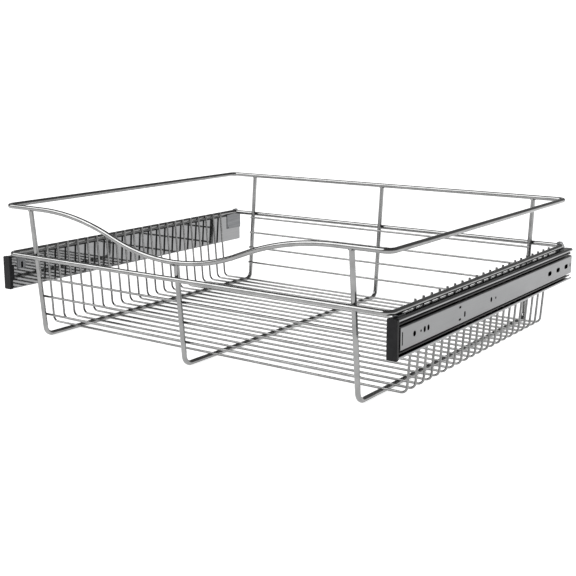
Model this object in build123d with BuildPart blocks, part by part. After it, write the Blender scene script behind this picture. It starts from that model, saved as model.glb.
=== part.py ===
from build123d import *
import os
from math import atan, cos, degrees, radians, sin, tan

# Pull-out wire basket for a closet or cabinet, on two side-mounted ball-bearing slides.
# Millimetres. X runs left to right, Y from front to back, Z up. The origin is the middle
# of the footprint, on the surface that the basket's bottom wires stand on.

os.makedirs("parts", exist_ok=True)

# ---- overall sizes ----
overall_width = 612.0  # across the outer faces of both slides
overall_depth = 502.2  # front of the caps to the rear edges of the rear brackets
overall_height = 180.5  # underside of the bottom wires to the top of the top rim

# ---- basket wires ----
rim_wire = 6.35  # top rim and middle rim, diameter
frame_wire = 6.35  # the three U-shaped frame wires, diameter
thin_wire = 3.0  # cross wires and side wires, diameter
weld_sink = 0.15  # how far crossing wires sink into each other at a spot weld
end_weld = 2.0  # how far a frame wire's end runs into the rim it is welded under
rim_corner = 10.0  # centreline radius of the rims' corners
rim_over_slide = 2.2  # rims' side centreline, outside the slides' inner face
rear_overhang = 10.4  # rear brackets' rear edges, behind the rims
middle_rim_height = 112.05  # centreline of the middle rim
frame_wire_inset = 47.1  # side frame wires' centreline, inside the rims' side centreline
frame_bend = 11.5  # centreline radius of the frame wires' two bends
scoop_gap = 20.95  # centreline of the front dip's lowest point above the middle rim's
scoop_inset = 21.2  # ends of the front dip, inside the side frame wires
scoop_bottom_radius = 268.0  # centreline radius at the bottom of the dip
cross_wire_count = 21
cross_wire_front_inset = 45.1  # first cross wire, behind the frame wires' front lower corners
cross_wire_rear_inset = 26.0  # last cross wire, in front of their rear lower corners
cross_wire_bend = 8.0  # centreline radius
cross_wire_tip = 3.7  # cross wires' ends, above the middle rim's centreline
cross_wire_lean = 4.3  # degrees that the cross wires' sides lean in towards the floor
side_wire_count = 4
side_wire_drop = 4.9  # highest front and back wire, below the middle rim's centreline
side_wire_clearance = 28.0  # lowest front and back wire, above the bottom run's centreline
side_wire_overlap = 1.5  # ends of the front and back wires, past the side frame wires' centre

# ---- slides ----
slide_height = 45.0
slide_thickness = 12.7
slide_drop = 1.0  # top of the slide, below the underside of the middle rim
lip_recess = 0.5  # the basket member's lips, short of the slide's outer face
member_sheet = 1.2  # basket member and cabinet member
middle_sheet = 1.0
cage_sheet = 0.5
member_bend = 1.6  # centreline radius of the basket member's corners next to its web
lip_bend = 2.0  # centreline radius of its lips' corners
middle_bend = 1.5
cabinet_bend = 1.5
cage_bend = 1.25
lip_face = 3.8  # height of the basket member's returned lips
lip_return = 1.8  # length of the middle member's returned lips, below its flange
flange_return = 3.4  # length of the cabinet member's returned flanges
running_gap = 0.2  # between faces that slide past each other
ball_gap = 0.1  # between a ball and each of its tracks
outer_ball = 3.6
inner_ball = 3.2
balls_per_row = 12
cage_end = 17.3  # first and last ball, inside the cage's ends
travel_shortfall = 2.2  # full extension, short of the overall depth
stop_width = 3.0  # length of a stop tab along the slide
stop_height = 5.0  # half height of a stop tab
lug_height = 1.8  # cabinet member's front stop lug
stop_inset = 5.0  # rear stop tabs, in front of the cabinet member's rear end
member_rear_gap = 0.9  # basket member's rear end, in front of the rear bracket's rear edge
cabinet_rear_gap = 4.6  # cabinet and middle members' rear ends, in front of the same edge
cabinet_front_gap = 7.7  # their front ends, behind the front of the caps
screw_hole = 3.1  # radius of the front screw hole and half height of the rear slots
front_hole_inset = 30.0  # front screw hole, behind the cabinet member's front end
rear_slot_inset = 50.8  # middle rear slot, in front of the cabinet member's rear end
rear_slot_length = 12.4
rear_slot_pitch = 30.2
tooling_hole = 1.5  # radius of the small round holes
tooling_hole_steps = (14.2, 204.3)  # behind the front screw hole
# smaller slots: distance behind the front screw hole, height from the middle, length, width
upright_slots = ((22.5, 0, 6.6, 4.8), (30.9, 0, 6.6, 4.8), (119.7, -3.2, 6.8, 3.8), (191.5, 0, 6.2, 4.8))
level_slots = ((107.3, 7.2, 5.6, 2.6), (107.3, -7.2, 5.6, 2.6))
end_slot_step = 15.2  # narrow slot, behind the last rear slot
end_slot_length = 5.2
end_slot_width = 2.8
front_slot_inset = 3.8  # upright slot near the cabinet member's front end
front_slot_length = 14.5
front_slot_width = 2.0
bumper_length = 12.5  # block at the rear end, inside the cabinet member
bumper_corner = 1.0
bumper_play = 0.1  # between the bumper and the flanges around it

# ---- caps and brackets ----
cap_depth = 4.6
cap_overlap = 0.1  # cap's face past the slide, above and below
cap_corner = 1.8
cap_edge = 0.8
cap_gap = 0.1  # between the cap and the end of the basket member
tongue_half_height = 10.4
tongue_length = 2.7
tongue_play = 0.1
prong_length = 7.1  # the tongue's two prongs, in slots of the basket member's web
prong_height = 1.5
bracket_sheet = 0.9
bracket_shelf = 8.4  # width of the shelf under the rim, from the plate's basket-side face
front_bracket_length = 13.4
front_bracket_drop = 19.3  # plate's height below the underside of the rim
rear_bracket_length = 36.0
rear_bracket_drop = 24.4
hook_gap = 0.2  # between the rear hook and the rim
hook_sheet = 2.0  # height of the hook's finger over the rim
hook_reach = 8.5  # hook's finger, forward of its upright
hook_inset = 3.5  # hook's finger, inwards from the plate
hook_width = 0.8  # hook's upright, at its top
hook_root = 1.0  # how far the hook runs down into the plate
tag_hole = 1.3  # radius of the hole in the rear plate's lower corner
tag_hole_inset = 2.2  # from the plate's front and lower edges
window_width = 3.4
window_height = 8.5
window_rear_rib = 4.3  # metal behind the window
window_lower_rib = 0.8  # metal below it
cut_margin = 1.0  # how far cuts start and end outside the metal

# ---- worked out from the sizes above ----
rim_radius = rim_wire / 2
frame_radius = frame_wire / 2
thin_radius = thin_wire / 2
slide_inner_x = overall_width / 2 - slide_thickness
rim_half_width = slide_inner_x + rim_over_slide
rim_half_depth = (overall_depth - rear_overhang) / 2 - rim_radius
basket_y = -rear_overhang / 2
top_rim_z = overall_height - rim_radius
bottom_run_z = frame_radius
scoop_z = middle_rim_height + scoop_gap
frame_wire_x = rim_half_width - frame_wire_inset
leg_offset = rim_radius + frame_radius - weld_sink
leg_slope = leg_offset / (top_rim_z - middle_rim_height)
floor_wire_z = bottom_run_z + frame_radius + thin_radius - weld_sink
slide_z = middle_rim_height - rim_radius - slide_drop - slide_height / 2
front_y = -overall_depth / 2
rear_y = overall_depth / 2
member_front_y = front_y + cap_depth
member_rear_y = rear_y - member_rear_gap
cabinet_rear_y = rear_y - cabinet_rear_gap
cabinet_front_y = front_y + cabinet_front_gap
bracket_top_z = middle_rim_height - rim_radius
travel = overall_depth - travel_shortfall


def leg_y(z):
    """Distance of a leg's centreline from the basket's middle, at height z."""
    return rim_half_depth - leg_offset - (middle_rim_height - z) * leg_slope


def save(builder, name):
    builder.part.label = name
    export_step(builder.part, f"parts/{name}.step")


# ---- basket ----


def rim_with_dip():
    """Closed top rim: a rounded rectangle whose front run dips in the middle."""
    half_width = frame_wire_x - scoop_inset
    depth = top_rim_z - scoop_z
    angle = 2 * atan(depth / half_width)
    side_radius = half_width / sin(angle) - scoop_bottom_radius
    turn_x = scoop_bottom_radius * sin(angle)
    turn_z = scoop_z + scoop_bottom_radius * (1 - cos(angle))
    run_y = basket_y - rim_half_depth
    back_y = basket_y + rim_half_depth
    corner_x = rim_half_width - rim_corner
    front_end_y = run_y + rim_corner
    back_end_y = back_y - rim_corner
    print("front dip: side radius", round(side_radius, 1), "slope angle", round(degrees(angle), 1))
    with BuildPart() as rim:
        with BuildLine() as path:
            bottom = (0, run_y, scoop_z)
            turn_right = (turn_x, run_y, turn_z)
            turn_left = (-turn_x, run_y, turn_z)
            end_right = (half_width, run_y, top_rim_z)
            end_left = (-half_width, run_y, top_rim_z)
            TangentArc(bottom, turn_right, tangent=(1, 0, 0))
            TangentArc(turn_right, end_right, tangent=(cos(angle), 0, sin(angle)))
            right_front = (corner_x, run_y, top_rim_z)
            right_front_side = (rim_half_width, front_end_y, top_rim_z)
            right_back_side = (rim_half_width, back_end_y, top_rim_z)
            right_back = (corner_x, back_y, top_rim_z)
            left_back = (-corner_x, back_y, top_rim_z)
            left_back_side = (-rim_half_width, back_end_y, top_rim_z)
            left_front_side = (-rim_half_width, front_end_y, top_rim_z)
            left_front = (-corner_x, run_y, top_rim_z)
            Line(end_right, right_front)
            TangentArc(right_front, right_front_side, tangent=(1, 0, 0))
            Line(right_front_side, right_back_side)
            TangentArc(right_back_side, right_back, tangent=(0, 1, 0))
            Line(right_back, left_back)
            TangentArc(left_back, left_back_side, tangent=(-1, 0, 0))
            Line(left_back_side, left_front_side)
            TangentArc(left_front_side, left_front, tangent=(0, -1, 0))
            Line(left_front, end_left)
            TangentArc(end_left, turn_left, tangent=(1, 0, 0))
            TangentArc(turn_left, bottom, tangent=(cos(angle), 0, -sin(angle)))
        with BuildSketch(Plane(origin=bottom, z_dir=(1, 0, 0))):
            Circle(rim_radius)
        sweep(path=path.line)
    return rim


def flat_rim():
    """Closed middle rim, a rounded rectangle."""
    run_y = basket_y - rim_half_depth
    back_y = basket_y + rim_half_depth
    corners = (
        (-rim_half_width, run_y, middle_rim_height),
        (rim_half_width, run_y, middle_rim_height),
        (rim_half_width, back_y, middle_rim_height),
        (-rim_half_width, back_y, middle_rim_height),
    )
    with BuildPart() as rim:
        with BuildLine() as path:
            FilletPolyline(*corners, radius=rim_corner, close=True)
        start = path.line @ 0
        with BuildSketch(Plane(origin=start, z_dir=path.line % 0)):
            Circle(rim_radius)
        sweep(path=path.line)
    return rim


def frame_wire_at(x, front_top_z):
    """U-shaped frame wire: front leg, bottom run and back leg, both legs leaning in."""
    back_top_z = top_rim_z - rim_radius + end_weld
    points = (
        (x, basket_y - leg_y(front_top_z), front_top_z),
        (x, basket_y - leg_y(bottom_run_z), bottom_run_z),
        (x, basket_y + leg_y(bottom_run_z), bottom_run_z),
        (x, basket_y + leg_y(back_top_z), back_top_z),
    )
    with BuildPart() as wire:
        with BuildLine() as path:
            FilletPolyline(*points, radius=frame_bend)
        with BuildSketch(Plane(origin=path.line @ 0, z_dir=path.line % 0)):
            Circle(frame_radius)
        sweep(path=path.line)
    return wire


def cross_wire_at(y):
    """U-shaped cross wire: up the left side, across the floor and up the right side."""
    rim_x = rim_half_width - (rim_radius + thin_radius - weld_sink)
    slope = tan(radians(cross_wire_lean))
    tip_z = middle_rim_height + cross_wire_tip
    tip_x = rim_x + cross_wire_tip * slope
    floor_x = rim_x - (middle_rim_height - floor_wire_z) * slope
    with BuildPart() as wire:
        with BuildLine() as path:
            FilletPolyline(
                (-tip_x, y, tip_z),
                (-floor_x, y, floor_wire_z),
                (floor_x, y, floor_wire_z),
                (tip_x, y, tip_z),
                radius=cross_wire_bend,
            )
        with BuildSketch(Plane(origin=path.line @ 0, z_dir=path.line % 0)):
            Circle(thin_radius)
        sweep(path=path.line)
    return wire


def side_wire_at(z, side):
    """Straight thin wire along the front (side -1) or the back (side 1), inside the legs."""
    inside = (frame_radius + thin_radius - weld_sink) / cos(atan(leg_slope))
    y = basket_y + side * (leg_y(z) - inside)
    half_length = frame_wire_x + side_wire_overlap
    with BuildPart() as wire:
        with BuildSketch(Plane.YZ.offset(-half_length)):
            with Locations((y, z)):
                Circle(thin_radius)
        extrude(amount=2 * half_length)
    return wire


save(rim_with_dip(), "top_rim")
save(flat_rim(), "middle_rim")

side_leg_top_z = top_rim_z - rim_radius + end_weld
scoop_leg_top_z = scoop_z - rim_radius + end_weld
save(frame_wire_at(-frame_wire_x, side_leg_top_z), "frame_wire_left")
save(frame_wire_at(0, scoop_leg_top_z), "frame_wire_middle")
save(frame_wire_at(frame_wire_x, side_leg_top_z), "frame_wire_right")

first_cross_y = basket_y - leg_y(bottom_run_z) + cross_wire_front_inset
last_cross_y = basket_y + leg_y(bottom_run_z) - cross_wire_rear_inset
cross_wire_pitch = (last_cross_y - first_cross_y) / (cross_wire_count - 1)
print("cross wire pitch", round(cross_wire_pitch, 2))
for number in range(cross_wire_count):
    wire_y = first_cross_y + number * cross_wire_pitch
    save(cross_wire_at(wire_y), f"cross_wire_{number + 1:02d}")

highest_side_wire_z = middle_rim_height - side_wire_drop
lowest_side_wire_z = bottom_run_z + side_wire_clearance
side_wire_pitch = (highest_side_wire_z - lowest_side_wire_z) / (side_wire_count - 1)
print("side wire pitch", round(side_wire_pitch, 2))
for number in range(side_wire_count):
    wire_z = highest_side_wire_z - number * side_wire_pitch
    save(side_wire_at(wire_z, -1), f"front_wire_{number + 1}")
    save(side_wire_at(wire_z, 1), f"back_wire_{number + 1}")

# ---- slides ----
# Each is drawn for the right-hand side and mirrored for the left. Sections are drawn in
# X and Z, from the slide's inner face outwards, about the slide's middle height.

half_height = slide_height / 2
outer_ball_z = half_height - member_sheet - ball_gap - outer_ball / 2
middle_top = outer_ball_z - outer_ball / 2 - ball_gap
inner_ball_z = middle_top - middle_sheet - ball_gap - inner_ball / 2
cabinet_top = inner_ball_z - inner_ball / 2 - ball_gap

outer_cage_x = member_sheet + running_gap
middle_web_x = outer_cage_x + cage_sheet + running_gap
inner_cage_x = middle_web_x + middle_sheet + running_gap
cabinet_flange_x = inner_cage_x + cage_sheet + running_gap
middle_lip_x = slide_thickness - member_sheet - 3 * running_gap
outer_ball_x = (slide_thickness - lip_recess) / 2
inner_ball_x = (middle_web_x + middle_lip_x) / 2

# the middle member and the cages, placed so that the stops trap the cages at full extension
middle_front_y = cabinet_front_y
middle_rear_y = cabinet_rear_y
stage_travel = travel / 2
front_stop_y = middle_front_y + stop_width
rear_stop_y = cabinet_rear_y - stop_inset
cage_length = rear_stop_y - stage_travel - front_stop_y - 2 * running_gap
cage_front_y = (front_stop_y + rear_stop_y - stage_travel) / 2 + stage_travel / 2 - cage_length / 2
cage_rear_y = cage_front_y + cage_length
cage_middle_y = (cage_front_y + cage_rear_y) / 2
ball_pitch = (cage_length - 2 * cage_end) / (balls_per_row - 1)
print("cage length", round(cage_length, 1), "ball pitch", round(ball_pitch, 2))


def formed_channel(points, sheet, bend, start_y, end_y):
    """Roll-formed channel: sheet bent along the points, from start_y back to end_y."""
    placed = [(slide_inner_x + x, slide_z + z) for x, z in points]
    with BuildPart() as channel:
        with BuildSketch(Plane.XZ.offset(-end_y)):
            with BuildLine():
                FilletPolyline(*placed, radius=bend)
                offset(amount=sheet / 2)
            make_face()
        extrude(amount=end_y - start_y)
    return channel.part


def stop_tab(x_from, x_to, low_z, high_z, start_y):
    """Stop tab: a block in X from x_from to x_to, both from the slide's inner face."""
    with BuildPart() as tab:
        with BuildSketch(Plane.XZ.offset(-start_y - stop_width)):
            with Locations((slide_inner_x + (x_from + x_to) / 2, slide_z + (low_z + high_z) / 2)):
                Rectangle(x_to - x_from, high_z - low_z)
        extrude(amount=stop_width)
    return tab.part


def basket_member(side):
    """Wide member, welded to the basket, with its lips turned outwards and back."""
    half_sheet = member_sheet / 2
    lip_x = slide_thickness - lip_recess - half_sheet
    top = half_height - half_sheet
    lip_end = half_height - lip_face + half_sheet
    section = (
        (lip_x, lip_end),
        (lip_x, top),
        (half_sheet, top),
        (half_sheet, -top),
        (lip_x, -top),
        (lip_x, -lip_end),
    )
    with BuildPart() as member:
        bends = (lip_bend, member_bend, member_bend, lip_bend)
        add(formed_channel(section, member_sheet, bends, member_front_y, member_rear_y))
        # notch that the cap's tongue fills, with a slot for each of its prongs
        with BuildSketch(Plane.YZ.offset(slide_inner_x - cut_margin)):
            with Locations((member_front_y, slide_z)):
                Rectangle(2 * (tongue_length + tongue_play), 2 * (tongue_half_height + tongue_play))
                with GridLocations(1, 2 * prong_z, 1, 2):
                    Rectangle(2 * (prong_length + tongue_play), prong_height + 2 * tongue_play)
        extrude(amount=member_sheet + 2 * cut_margin, mode=Mode.SUBTRACT)
        # window behind the front bracket's window
        with BuildSketch(Plane.YZ.offset(slide_inner_x - cut_margin)):
            with Locations((window_y, window_z)):
                Rectangle(window_width, window_height)
        extrude(amount=member_sheet + 2 * cut_margin, mode=Mode.SUBTRACT)
        add(stop_tab(half_sheet, middle_web_x - running_gap, -stop_height, stop_height, rear_stop_y))
        if side == "left":
            mirror(about=Plane.YZ, mode=Mode.REPLACE)
    return member


def middle_member(side):
    """Middle member, between the two rows of balls."""
    half_sheet = middle_sheet / 2
    web_x = middle_web_x + half_sheet
    lip_x = middle_lip_x - half_sheet
    top = middle_top - half_sheet
    lip_end = middle_top - middle_sheet - lip_return + half_sheet
    section = (
        (lip_x, lip_end),
        (lip_x, top),
        (web_x, top),
        (web_x, -top),
        (lip_x, -top),
        (lip_x, -lip_end),
    )
    with BuildPart() as member:
        add(formed_channel(section, middle_sheet, middle_bend, middle_front_y, middle_rear_y))
        add(stop_tab(member_sheet + running_gap, web_x, -stop_height, stop_height, middle_front_y))
        add(stop_tab(web_x, cabinet_flange_x - running_gap, -stop_height, stop_height, rear_stop_y))
        if side == "left":
            mirror(about=Plane.YZ, mode=Mode.REPLACE)
    return member


def cabinet_member(side):
    """Narrow member, screwed to the cabinet's side, with its web outermost."""
    half_sheet = member_sheet / 2
    web_x = slide_thickness - half_sheet
    flange_x = cabinet_flange_x + half_sheet
    top = cabinet_top - half_sheet
    flange_end = top - flange_return
    section = (
        (flange_x, flange_end),
        (flange_x, top),
        (web_x, top),
        (web_x, -top),
        (flange_x, -top),
        (flange_x, -flange_end),
    )
    with BuildPart() as member:
        add(formed_channel(section, member_sheet, cabinet_bend, cabinet_front_y, cabinet_rear_y))
        # screw holes and slots in the web
        with BuildSketch(Plane.YZ.offset(slide_inner_x + web_x - half_sheet - cut_margin)):
            with Locations((front_hole_y, slide_z)):
                Circle(screw_hole)
            with Locations(*[(front_hole_y + step, slide_z) for step in tooling_hole_steps]):
                Circle(tooling_hole)
            for step, height, length, width in upright_slots:
                with Locations((front_hole_y + step, slide_z + height)):
                    SlotOverall(length, width, rotation=90)
            for step, height, length, width in level_slots:
                with Locations((front_hole_y + step, slide_z + height)):
                    SlotOverall(length, width)
            with Locations((rear_slot_y, slide_z)):
                with GridLocations(rear_slot_pitch, 1, 3, 1):
                    SlotOverall(rear_slot_length, 2 * screw_hole)
            with Locations((rear_slot_y + rear_slot_pitch + end_slot_step, slide_z)):
                SlotOverall(end_slot_length, end_slot_width, rotation=90)
            with Locations((cabinet_front_y + front_slot_inset, slide_z)):
                Rectangle(front_slot_width, front_slot_length)
        extrude(amount=member_sheet + 2 * cut_margin, mode=Mode.SUBTRACT)
        # stop lug on the upper flange's inner edge
        add(
            stop_tab(
                middle_web_x + middle_sheet + running_gap,
                flange_x,
                flange_end,
                flange_end + lug_height,
                cabinet_front_y,
            )
        )
        if side == "left":
            mirror(about=Plane.YZ, mode=Mode.REPLACE)
    return member


def rear_bumper(side):
    """Block that fills the cabinet member's rear end, with a nose between its flanges."""
    web_face_x = slide_thickness - member_sheet
    body_x = cabinet_flange_x + member_sheet + bumper_play
    body_height = 2 * (cabinet_top - member_sheet - bumper_play)
    nose_height = 2 * (cabinet_top - flange_return - member_sheet - bumper_play)
    with BuildPart() as bumper:
        with BuildSketch(Plane.XZ.offset(-cabinet_rear_y)):
            with Locations((slide_inner_x + (body_x + web_face_x) / 2, slide_z)):
                RectangleRounded(web_face_x - body_x, body_height, bumper_corner)
            with Locations((slide_inner_x + (cabinet_flange_x + web_face_x) / 2, slide_z)):
                RectangleRounded(web_face_x - cabinet_flange_x, nose_height, bumper_corner)
        extrude(amount=bumper_length)
        if side == "left":
            mirror(about=Plane.YZ, mode=Mode.REPLACE)
    return bumper


def ball_cage(side, web_x, flange_end_x, ball_x, ball_z, ball_size):
    """Thin channel that spaces the balls: web between two members, a flange at each row."""
    half_sheet = cage_sheet / 2
    start_x = web_x + half_sheet
    section = ((flange_end_x, ball_z), (start_x, ball_z), (start_x, -ball_z), (flange_end_x, -ball_z))
    with BuildPart() as cage:
        add(formed_channel(section, cage_sheet, cage_bend, cage_front_y, cage_rear_y))
        with BuildSketch(Plane.XY.offset(slide_z - ball_z - cut_margin)):
            with Locations((slide_inner_x + ball_x, cage_middle_y)):
                with GridLocations(1, ball_pitch, 1, balls_per_row):
                    Circle(ball_size / 2 + running_gap)
        extrude(amount=2 * (ball_z + cut_margin), mode=Mode.SUBTRACT)
        if side == "left":
            mirror(about=Plane.YZ, mode=Mode.REPLACE)
    return cage


def ball_rows(side, ball_x, ball_z, ball_size):
    """Upper and lower row of balls in one cage."""
    with BuildPart() as balls:
        for height in (slide_z + ball_z, slide_z - ball_z):
            with Locations((slide_inner_x + ball_x, cage_middle_y, height)):
                with GridLocations(1, ball_pitch, 1, balls_per_row):
                    Sphere(ball_size / 2)
        if side == "left":
            mirror(about=Plane.YZ, mode=Mode.REPLACE)
    return balls


def front_cap(side):
    """Moulded cap on the basket member's front end, with a tongue inside the channel."""
    with BuildPart() as cap:
        with BuildSketch(Plane.XZ.offset(-(member_front_y - cap_gap))):
            with Locations((slide_inner_x + slide_thickness / 2, slide_z)):
                RectangleRounded(slide_thickness, slide_height + 2 * cap_overlap, cap_corner)
        extrude(amount=cap_depth - cap_gap)
        front_edges = cap.faces().sort_by(Axis.Y)[0].edges()
        fillet(front_edges, cap_edge)
        with BuildSketch(Plane.XZ.offset(-(member_front_y + tongue_length))):
            with Locations((slide_inner_x + slide_thickness / 2 - lip_recess, slide_z)):
                Rectangle(slide_thickness - 2 * lip_recess, 2 * tongue_half_height)
        extrude(amount=tongue_length + cap_gap)
        with BuildSketch(Plane.XZ.offset(-(member_front_y + prong_length))):
            with Locations((slide_inner_x + member_sheet / 2, slide_z)):
                with GridLocations(1, 2 * prong_z, 1, 2):
                    Rectangle(member_sheet, prong_height)
        extrude(amount=prong_length + cap_gap)
        if side == "left":
            mirror(about=Plane.YZ, mode=Mode.REPLACE)
    return cap


def bracket_outline(start_y, end_y, drop):
    """Upright plate on the slide's inner face, from the rim's underside down by drop."""
    low_z = bracket_top_z - drop
    return ((start_y, low_z), (end_y, low_z), (end_y, bracket_top_z), (start_y, bracket_top_z))


def shelf(start_y, end_y):
    """Shelf under the rim, turned outwards from the top of a bracket's plate."""
    with BuildPart() as flange:
        with BuildSketch(Plane.XZ.offset(-end_y)):
            with Locations((slide_inner_x - bracket_sheet, bracket_top_z)):
                Rectangle(bracket_shelf, bracket_sheet, align=(Align.MIN, Align.MAX))
        extrude(amount=end_y - start_y)
    return flange.part


def front_bracket(side):
    with BuildPart() as bracket:
        with BuildSketch(Plane.YZ.offset(slide_inner_x - bracket_sheet)):
            with BuildLine():
                Polyline(*bracket_outline(front_bracket_y, front_bracket_end, front_bracket_drop), close=True)
            make_face()
            with Locations((window_y, window_z)):
                Rectangle(window_width, window_height, mode=Mode.SUBTRACT)
        extrude(amount=bracket_sheet)
        add(shelf(front_bracket_y, front_bracket_end))
        if side == "left":
            mirror(about=Plane.YZ, mode=Mode.REPLACE)
    return bracket


def rear_bracket(side):
    """Rear bracket, whose hook reaches over the middle rim's rear corner."""
    plate_x = slide_inner_x - bracket_sheet / 2
    arc_x = plate_x - (rim_half_width - rim_corner)
    arc_rise = (rim_corner**2 - arc_x**2) ** 0.5
    wire_y = basket_y + rim_half_depth - rim_corner + arc_rise
    wire_reach = rim_radius * rim_corner / arc_rise + bracket_sheet / 2 * arc_x / arc_rise
    upright_y = wire_y + wire_reach + hook_gap
    finger_z = middle_rim_height + rim_radius + hook_gap
    hook = (
        (upright_y, bracket_top_z - hook_root),
        (upright_y, finger_z),
        (upright_y - hook_reach, finger_z),
        (upright_y - hook_reach, finger_z + hook_sheet),
        (upright_y + hook_width, finger_z + hook_sheet),
        (rear_y, bracket_top_z),
        (rear_y, bracket_top_z - hook_root),
    )
    shelf_end = basket_y + rim_half_depth - rim_corner
    with BuildPart() as bracket:
        with BuildSketch(Plane.YZ.offset(slide_inner_x - bracket_sheet)):
            with BuildLine():
                Polyline(*bracket_outline(rear_bracket_y, rear_y, rear_bracket_drop), close=True)
            make_face()
            with BuildLine():
                Polyline(*hook, close=True)
            make_face()
            tag_hole_z = bracket_top_z - rear_bracket_drop + tag_hole_inset
            with Locations((rear_bracket_y + tag_hole_inset, tag_hole_z)):
                Circle(tag_hole, mode=Mode.SUBTRACT)
        extrude(amount=bracket_sheet)
        with BuildSketch(Plane.YZ.offset(slide_inner_x - bracket_sheet - hook_inset)):
            with Locations((upright_y - hook_reach, finger_z)):
                Rectangle(hook_reach, hook_sheet, align=(Align.MIN, Align.MIN))
        extrude(amount=hook_inset + bracket_sheet)
        add(shelf(rear_bracket_y, shelf_end))
        if side == "left":
            mirror(about=Plane.YZ, mode=Mode.REPLACE)
    return bracket


front_hole_y = cabinet_front_y + front_hole_inset
rear_slot_y = cabinet_rear_y - rear_slot_inset
front_bracket_y = basket_y - rim_half_depth + rim_corner
front_bracket_end = front_bracket_y + front_bracket_length
rear_bracket_y = rear_y - rear_bracket_length
window_y = front_bracket_end - window_width / 2 - window_rear_rib
prong_z = tongue_half_height - prong_height / 2
window_z = bracket_top_z - front_bracket_drop + window_height / 2 + window_lower_rib

for side_name in ("left", "right"):
    save(basket_member(side_name), f"basket_member_{side_name}")
    save(middle_member(side_name), f"middle_member_{side_name}")
    save(cabinet_member(side_name), f"cabinet_member_{side_name}")
    save(rear_bumper(side_name), f"rear_bumper_{side_name}")
    outer_flange_x = slide_thickness - lip_recess - member_sheet - 5 * running_gap
    inner_flange_x = middle_lip_x - middle_sheet - 3 * running_gap
    save(
        ball_cage(side_name, outer_cage_x, outer_flange_x, outer_ball_x, outer_ball_z, outer_ball),
        f"outer_cage_{side_name}",
    )
    save(
        ball_cage(side_name, inner_cage_x, inner_flange_x, inner_ball_x, inner_ball_z, inner_ball),
        f"inner_cage_{side_name}",
    )
    save(ball_rows(side_name, outer_ball_x, outer_ball_z, outer_ball), f"outer_balls_{side_name}")
    save(ball_rows(side_name, inner_ball_x, inner_ball_z, inner_ball), f"inner_balls_{side_name}")
    save(front_cap(side_name), f"front_cap_{side_name}")
    save(front_bracket(side_name), f"front_bracket_{side_name}")
    save(rear_bracket(side_name), f"rear_bracket_{side_name}")
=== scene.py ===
import math
import random
import bmesh
import bpy
from mathutils import Matrix, Vector


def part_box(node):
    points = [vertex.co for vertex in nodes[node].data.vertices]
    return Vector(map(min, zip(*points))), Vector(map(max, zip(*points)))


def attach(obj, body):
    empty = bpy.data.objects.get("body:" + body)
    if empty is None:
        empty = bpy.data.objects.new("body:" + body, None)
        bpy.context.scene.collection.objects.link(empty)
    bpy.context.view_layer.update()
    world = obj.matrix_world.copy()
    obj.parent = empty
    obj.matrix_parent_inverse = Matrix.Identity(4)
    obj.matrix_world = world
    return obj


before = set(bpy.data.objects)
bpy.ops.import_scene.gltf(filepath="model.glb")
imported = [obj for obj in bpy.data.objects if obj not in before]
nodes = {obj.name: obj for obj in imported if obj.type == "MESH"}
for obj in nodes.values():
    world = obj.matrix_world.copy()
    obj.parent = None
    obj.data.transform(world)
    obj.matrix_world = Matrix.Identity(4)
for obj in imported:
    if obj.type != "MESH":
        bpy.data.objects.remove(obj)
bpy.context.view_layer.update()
print("stage: frame loaded,", len(nodes), "pieces")

# small helpers for node materials

# the part of a noise's range that is spread over a colour ramp, and over a range of roughness
noiseSpread = {"tone": (0.35, 0.65), "rough": (0.3, 0.7)}


def newMaterial(name, metallic=1.0):
    material = bpy.data.materials.new(name)
    material.use_nodes = True
    tree = material.node_tree
    shader = tree.nodes["Principled BSDF"]
    shader.inputs["Metallic"].default_value = metallic
    return material, tree, shader


def addNode(tree, kind, **settings):
    node = tree.nodes.new(kind)
    for key, value in settings.items():
        setattr(node, key, value)
    return node


def objectCoords(tree, stretch=(1, 1, 1)):
    coords = addNode(tree, "ShaderNodeTexCoord")
    mapping = addNode(tree, "ShaderNodeMapping")
    mapping.inputs["Scale"].default_value = stretch
    tree.links.new(coords.outputs["Object"], mapping.inputs["Vector"])
    return mapping.outputs["Vector"]


def noiseField(tree, vector, scale, detail=3.0, roughness=0.5):
    noise = addNode(tree, "ShaderNodeTexNoise")
    noise.inputs["Scale"].default_value = scale
    noise.inputs["Detail"].default_value = detail
    noise.inputs["Roughness"].default_value = roughness
    tree.links.new(vector, noise.inputs["Vector"])
    return noise.outputs["Fac"]


def toneBetween(tree, factor, dark, light):
    ramp = addNode(tree, "ShaderNodeValToRGB")
    for tone, place, color in zip(ramp.color_ramp.elements, noiseSpread["tone"], (dark, light)):
        tone.position = place
        tone.color = (*color, 1)
    tree.links.new(factor, ramp.inputs["Fac"])
    return ramp.outputs["Color"]


def roughBetween(tree, factor, limits):
    remap = addNode(tree, "ShaderNodeMapRange")
    remap.inputs["From Min"].default_value, remap.inputs["From Max"].default_value = (
        noiseSpread["rough"]
    )
    remap.inputs["To Min"].default_value, remap.inputs["To Max"].default_value = limits
    tree.links.new(factor, remap.inputs["Value"])
    return remap.outputs["Result"]


def setSurface(tree, shader, color, rough):
    tree.links.new(color, shader.inputs["Base Color"])
    tree.links.new(rough, shader.inputs["Roughness"])


def bumpFrom(tree, shader, factor, strength, distance):
    bump = addNode(tree, "ShaderNodeBump")
    bump.inputs["Strength"].default_value = strength
    bump.inputs["Distance"].default_value = distance
    tree.links.new(factor, bump.inputs["Height"])
    tree.links.new(bump.outputs["Normal"], shader.inputs["Normal"])


# basket wires: bright plated, with faint cloudy patches and fine pits

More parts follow.
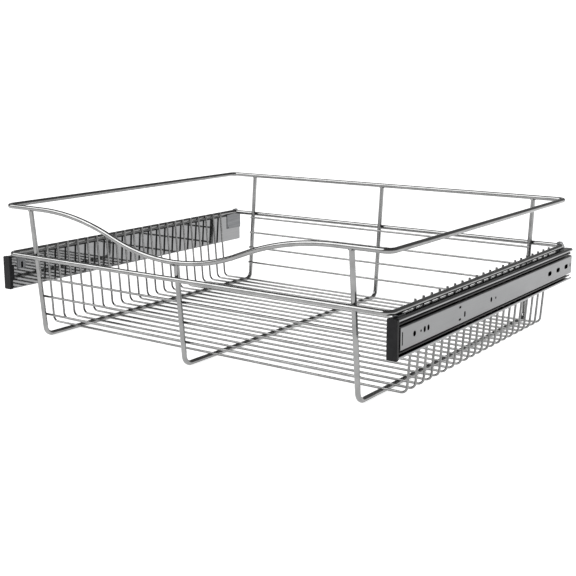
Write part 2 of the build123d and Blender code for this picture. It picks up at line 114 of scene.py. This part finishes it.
wireFinish = {
    "rim": {"dark": (0.25, 0.251, 0.25), "light": (0.31, 0.311, 0.309)},
    # the thin wires are a darker copy of the rim's chrome: painted shade for the inside of the
    # basket
    "thin": {"dark": (0.2, 0.201, 0.2), "light": (0.26, 0.261, 0.259)},
    "rough": (0.17, 0.1),  # in the dark patches, in the light patches
    "clouds": {"scale": 60.0},
    "pits": {"scale": 2600.0, "detail": 2.0},
    "pitBump": {"strength": 0.05, "distance": 0.0001},
}


def makeWireChrome(name, tone, finish):
    material, tree, shader = newMaterial(name)
    coords = objectCoords(tree)
    clouds = noiseField(tree, coords, **finish["clouds"])
    pits = noiseField(tree, coords, **finish["pits"])
    color = toneBetween(tree, clouds, tone["dark"], tone["light"])
    setSurface(tree, shader, color, roughBetween(tree, clouds, finish["rough"]))
    bumpFrom(tree, shader, pits, **finish["pitBump"])
    return material


# slide members, brackets and ball cages: plated strip with rolling lines along its length

rolledLook = {
    "lineStretch": (1, 0.012, 1),
    "cloudStretch": (1, 0.35, 1),
    "lines": {"scale": 1400.0, "detail": 4.0, "roughness": 0.6},
    "clouds": {"scale": 45.0},
    "lineBump": {"strength": 0.025, "distance": 0.0001},
}

stripFinish = {
    "cabinetMember": {
        "dark": (0.245, 0.247, 0.25),
        "light": (0.262, 0.264, 0.267),
        "rough": (0.28, 0.36),
    },
    "basketMember": {
        "dark": (0.255, 0.257, 0.26),
        "light": (0.295, 0.297, 0.3),
        "rough": (0.012, 0.035),
    },
    # near-black: dark phosphated steel, darkened further as painted shade deep in the channel
    "middleMember": {
        "dark": (0.014, 0.014, 0.015),
        "light": (0.028, 0.028, 0.029),
        "rough": (0.25, 0.35),
    },
    "bracket": {
        "dark": (0.17, 0.174, 0.18),
        "light": (0.24, 0.244, 0.25),
        "rough": (0.26, 0.4),
    },
    # near-black: dark phosphated steel, darkened further as painted shade deep in the channel
    "cage": {
        "dark": (0.012, 0.012, 0.013),
        "light": (0.024, 0.024, 0.025),
        "rough": (0.35, 0.5),
    },
}

# painted shade on the strip: near-black inside the channels and on the cut walls of the holes,
# where shade falls
# each is a band of distances from the middle of the basket and a band of heights, in metres
paintedShadeFinish = {
    "tone": (0.014, 0.014, 0.014),
    "basketMember": [{"across": (0.2944, 0.3046), "height": (0.064, 0.1067)}],
    "cabinetMember": [
        {"across": (0.294, 0.3044), "height": (0.06, 0.11)},
        {"across": (0.3044, 0.30592), "height": (0.0756, 0.0952)},
    ],
}

# places of the colour sockets on a mix node
mixSockets = {"factor": 0, "under": 6, "over": 7, "result": 2}


def insideBand(tree, value, limits):
    band = addNode(tree, "ShaderNodeMath", operation="COMPARE")
    middle, halfWidth = (limits[0] + limits[1]) / 2, (limits[1] - limits[0]) / 2
    tree.links.new(value, band.inputs[0])
    band.inputs[1].default_value = middle
    band.inputs[2].default_value = halfWidth
    return band.outputs["Value"]


def joinMath(tree, operation, first, second):
    joint = addNode(tree, "ShaderNodeMath", operation=operation)
    tree.links.new(first, joint.inputs[0])
    tree.links.new(second, joint.inputs[1])
    return joint.outputs["Value"]


# painted shade: a mask that is 1 inside the listed bands of width and height, where the
# channels and hole walls lie in shade
def paintedShadeMask(tree, places):
    coords = addNode(tree, "ShaderNodeTexCoord")
    split = addNode(tree, "ShaderNodeSeparateXYZ")
    tree.links.new(coords.outputs["Object"], split.inputs["Vector"])
    width = addNode(tree, "ShaderNodeMath", operation="ABSOLUTE")
    tree.links.new(split.outputs["X"], width.inputs[0])
    mask = None
    for place in places:
        across = insideBand(tree, width.outputs["Value"], place["across"])
        height = insideBand(tree, split.outputs["Z"], place["height"])
        patch = joinMath(tree, "MULTIPLY", across, height)
        mask = joinMath(tree, "MAXIMUM", mask, patch) if mask else patch
    return mask


# lays the near-black painted shade tone over the strip's colour inside the mask
def addPaintedShade(tree, color, places):
    blend = addNode(tree, "ShaderNodeMix", data_type="RGBA")
    blend.inputs[mixSockets["over"]].default_value = (*paintedShadeFinish["tone"], 1)
    tree.links.new(paintedShadeMask(tree, places), blend.inputs[mixSockets["factor"]])
    tree.links.new(color, blend.inputs[mixSockets["under"]])
    return blend.outputs[mixSockets["result"]]


# a rolled strip; where shaded places are given, painted shade darkens them
def makeRolledStrip(name, finish, shadedPlaces=None):
    material, tree, shader = newMaterial(name)
    lineCoords = objectCoords(tree, rolledLook["lineStretch"])
    cloudCoords = objectCoords(tree, rolledLook["cloudStretch"])
    lines = noiseField(tree, lineCoords, **rolledLook["lines"])
    clouds = noiseField(tree, cloudCoords, **rolledLook["clouds"])
    color = toneBetween(tree, lines, finish["dark"], finish["light"])
    if shadedPlaces:
        color = addPaintedShade(tree, color, shadedPlaces)
    setSurface(tree, shader, color, roughBetween(tree, clouds, finish["rough"]))
    bumpFrom(tree, shader, lines, **rolledLook["lineBump"])
    return material


# balls: polished steel with faint smears

ballFinish = {
    "tone": (0.62, 0.62, 0.63),
    "smearTone": 0.85,  # brightness of a smear, as a part of the tone
    "rough": (0.12, 0.05),  # in a smear, beside it
    "smear": {"scale": 900.0},
}


def makeBallSteel(finish):
    material, tree, shader = newMaterial("ballSteel")
    smear = noiseField(tree, objectCoords(tree), **finish["smear"])
    darker = tuple(finish["smearTone"] * part for part in finish["tone"])
    color = toneBetween(tree, smear, darker, finish["tone"])
    setSurface(tree, shader, color, roughBetween(tree, smear, finish["rough"]))
    return material


# caps and bumpers: black plastic with a fine grain

capFinish = {
    "dark": (0.003, 0.003, 0.004),
    "light": (0.008, 0.008, 0.009),
    "gloss": 0.22,
    "rough": (0.42, 0.58),
    "grain": {"scale": 1300.0, "detail": 2.0},
    "clouds": {"scale": 120.0},
    "grainBump": {"strength": 0.5, "distance": 0.0003},
}


def makeCapPlastic(finish):
    material, tree, shader = newMaterial("capPlastic", metallic=0.0)
    shader.inputs["Specular IOR Level"].default_value = finish["gloss"]
    coords = objectCoords(tree)
    grain = noiseField(tree, coords, **finish["grain"])
    clouds = noiseField(tree, coords, **finish["clouds"])
    color = toneBetween(tree, clouds, finish["dark"], finish["light"])
    setSurface(tree, shader, color, roughBetween(tree, grain, finish["rough"]))
    bumpFrom(tree, shader, grain, **finish["grainBump"])
    return material


rimChrome = makeWireChrome("rimChrome", wireFinish["rim"], wireFinish)
thinWireChrome = makeWireChrome("thinWireChrome", wireFinish["thin"], wireFinish)
capPlastic = makeCapPlastic(capFinish)
# the cabinet and basket members carry painted shade inside their channels
stripCabinet = makeRolledStrip(
    "stripCabinet", stripFinish["cabinetMember"], paintedShadeFinish["cabinetMember"]
)
stripBasket = makeRolledStrip(
    "stripBasket", stripFinish["basketMember"], paintedShadeFinish["basketMember"]
)

# a piece takes the finish of the word in its name, and the rim's chrome if it has none of these
finishes = {
    "cross_wire": thinWireChrome,
    "front_wire": thinWireChrome,
    "back_wire": thinWireChrome,
    "cabinet_member": stripCabinet,
    "basket_member": stripBasket,
    "middle_member": makeRolledStrip("stripMiddle", stripFinish["middleMember"]),
    "bracket": makeRolledStrip("stripBracket", stripFinish["bracket"]),
    "cage": makeRolledStrip("stripCage", stripFinish["cage"]),
    "balls": makeBallSteel(ballFinish),
    "cap": capPlastic,
    "bumper": capPlastic,
}


def finishFor(name):
    for word, finish in finishes.items():
        if word in name:
            return finish
    return rimChrome


for name, node in nodes.items():
    node.data.materials.clear()
    node.data.materials.append(finishFor(name))
print("stage: finishes made")


def addToScene(name, data):
    item = bpy.data.objects.new(name, data)
    bpy.context.scene.collection.objects.link(item)
    return item


# weld spots where wires cross, and beads under the top rim, in metres

weldLook = {
    "rimWire": 0.00635,
    "thinWire": 0.003,
    "dipHeight": 0.133,  # centre of the top rim at the bottom of its dip
    "across": 0.0014,  # half size of a spot along the wires
    "through": 0.0006,  # half size from wire to wire
    "beadWidth": 0.0038,  # half size of a bead along the rim
    "beadHeight": 0.0013,  # half size of a bead up the leg
    "uneven": 0.14,
    "fineness": 3,
    "seed": 11,
}

legNames = ("frame_wire_left", "frame_wire_middle", "frame_wire_right")


def middleOf(name, axis):
    low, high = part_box(name)
    return (low[axis] + high[axis]) / 2


def crossingSpots(look):
    rimWire, thinHalf = look["rimWire"], look["thinWire"] / 2
    across, through = look["across"], look["through"]
    rimLow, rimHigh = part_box("middle_rim")
    rimHeight = middleOf("middle_rim", 2)
    legPlaces = [middleOf(name, 0) for name in legNames]
    rimSides = (rimLow[0] + rimWire, rimHigh[0] - rimWire)
    rimEnds = (rimLow[1] + rimWire, rimHigh[1] - rimWire)
    flat = (across, across, through)
    sideways = (through, across, across)
    lengthways = (across, through, across)
    spots = []
    for name in sorted(nodes):
        if name.startswith("cross_wire"):
            y = middleOf(name, 1)
            spots += [((x, y, rimWire), flat) for x in legPlaces]
            spots += [((x, y, rimHeight), sideways) for x in rimSides]
        elif name.startswith(("front_wire", "back_wire")):
            towardsLeg = -thinHalf if name.startswith("front_wire") else thinHalf
            y, z = middleOf(name, 1) + towardsLeg, middleOf(name, 2)
            spots += [((x, y, z), lengthways) for x in legPlaces]
    bead = (look["beadWidth"], look["beadWidth"], look["beadHeight"])
    frontY, backY = rimLow[1] + rimWire / 2, rimHigh[1] - rimWire / 2
    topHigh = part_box("top_rim")[1]
    underRim = topHigh[2] - rimWire
    underDip = look["dipHeight"] - rimWire / 2
    for name, x in zip(legNames, legPlaces):
        frontTop = underDip if name == "frame_wire_middle" else underRim
        spots += [((x, y, rimHeight), lengthways) for y in rimEnds]
        spots += [((x, frontY, frontTop), bead), ((x, backY, underRim), bead)]
    return spots


def makeWelds(look):
    chance = random.Random(look["seed"])
    shape = bmesh.new()
    for place, size in crossingSpots(look):
        uneven = [1 + look["uneven"] * chance.uniform(-1, 1) for axis in range(3)]
        swell = Matrix.Diagonal((*(part * grow for part, grow in zip(size, uneven)), 1))
        bmesh.ops.create_icosphere(
            shape,
            subdivisions=look["fineness"],
            radius=1.0,
            matrix=Matrix.Translation(place) @ swell,
        )
    for face in shape.faces:
        face.smooth = True
    mesh = bpy.data.meshes.new("weldSpots")
    shape.to_mesh(mesh)
    shape.free()
    welds = addToScene("weldSpots", mesh)
    mesh.materials.append(rimChrome)
    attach(welds, "basket")


makeWelds(weldLook)
print("stage: welds made")

# floor, light and camera

floorLook = {
    "tone": (0.92, 0.92, 0.925),
    "shade": 0.99,  # brightness of the paper's darker patches, as a part of the tone
    "patches": {"scale": 3.0},
    "rough": 0.9,
    "gloss": 0.1,
    "glowTone": (1, 1, 1, 1),
    "glow": 0.85,  # a lit table, so that the object throws almost no shadow
    "size": 30.0,
}


def makeFloor(look):
    half = look["size"] / 2
    corners = [(-half, -half, 0), (half, -half, 0), (half, half, 0), (-half, half, 0)]
    mesh = bpy.data.meshes.new("floor")
    mesh.from_pydata(corners, [], [(0, 1, 2, 3)])
    floor = addToScene("floor", mesh)
    material, tree, shader = newMaterial("floorPaper", metallic=0.0)
    patches = noiseField(tree, objectCoords(tree), **look["patches"])
    darker = tuple(look["shade"] * part for part in look["tone"])
    color = toneBetween(tree, patches, darker, look["tone"])
    tree.links.new(color, shader.inputs["Base Color"])
    shader.inputs["Roughness"].default_value = look["rough"]
    shader.inputs["Specular IOR Level"].default_value = look["gloss"]
    shader.inputs["Emission Color"].default_value = look["glowTone"]
    shader.inputs["Emission Strength"].default_value = look["glow"]
    mesh.materials.append(material)


# the sky's brightness at each height, from the horizon (0) to straight above (1)
skyLook = {
    "steps": ((0.0, 1.12), (0.062, 1.12), (0.09, 0.3), (0.4, 0.17), (1.0, 0.1)),
    "strength": 1.0,
}


def makeSky(look):
    world = bpy.data.worlds.new("studioSky")
    bpy.context.scene.world = world
    world.use_nodes = True
    tree = world.node_tree
    background = tree.nodes["Background"]
    background.inputs["Strength"].default_value = look["strength"]
    coords = addNode(tree, "ShaderNodeTexCoord")
    split = addNode(tree, "ShaderNodeSeparateXYZ")
    ramp = addNode(tree, "ShaderNodeValToRGB")
    tree.links.new(coords.outputs["Generated"], split.inputs["Vector"])
    tree.links.new(split.outputs["Z"], ramp.inputs["Fac"])
    tree.links.new(ramp.outputs["Color"], background.inputs["Color"])
    tones = ramp.color_ramp.elements
    while len(tones) < len(look["steps"]):
        tones.new(0.5)  # anywhere between the first two, its real place is set below
    for tone, (height, bright) in zip(tones, look["steps"]):
        tone.position = height
        tone.color = (bright, bright, bright, 1)


sunLook = {
    "strength": 1.7,
    "angle": 46.0,  # degrees, wide for soft shading
    "from": (-0.52, -0.50, 0.69),
}


def makeSun(look):
    light = bpy.data.lights.new("softSun", "SUN")
    light.energy = look["strength"]
    light.angle = math.radians(look["angle"])
    sun = addToScene("softSun", light)
    sun.rotation_euler = Vector(look["from"]).to_track_quat("Z", "Y").to_euler()


cameraSetup = {
    "place": (0.8047, -1.1393, 0.3659),
    "turn": 0.6098,  # radians, anticlockwise from looking along +Y
    "tilt": 0.1968,  # radians, down
    "sensor": 36.0,
    "lens": 64.02,
    "shiftX": -0.01974,
    "shiftY": -0.0378,
}


def makeCamera(setup):
    data = bpy.data.cameras.new("photoCamera")
    data.sensor_width = setup["sensor"]
    data.lens = setup["lens"]
    data.shift_x = setup["shiftX"]
    data.shift_y = setup["shiftY"]
    camera = addToScene("photoCamera", data)
    turn, tilt = setup["turn"], setup["tilt"]
    level = math.cos(tilt)
    forward = Vector((-math.sin(turn) * level, math.cos(turn) * level, -math.sin(tilt)))
    right = Vector((math.cos(turn), math.sin(turn), 0))
    up = right.cross(forward)
    camera.matrix_world = Matrix((
        (right.x, up.x, -forward.x, setup["place"][0]),
        (right.y, up.y, -forward.y, setup["place"][1]),
        (right.z, up.z, -forward.z, setup["place"][2]),
        (0, 0, 0, 1),
    ))
    bpy.context.scene.camera = camera


makeFloor(floorLook)
makeSky(skyLook)
makeSun(sunLook)
makeCamera(cameraSetup)
bpy.context.scene.view_settings.view_transform = "Standard"
print("stage: studio ready")
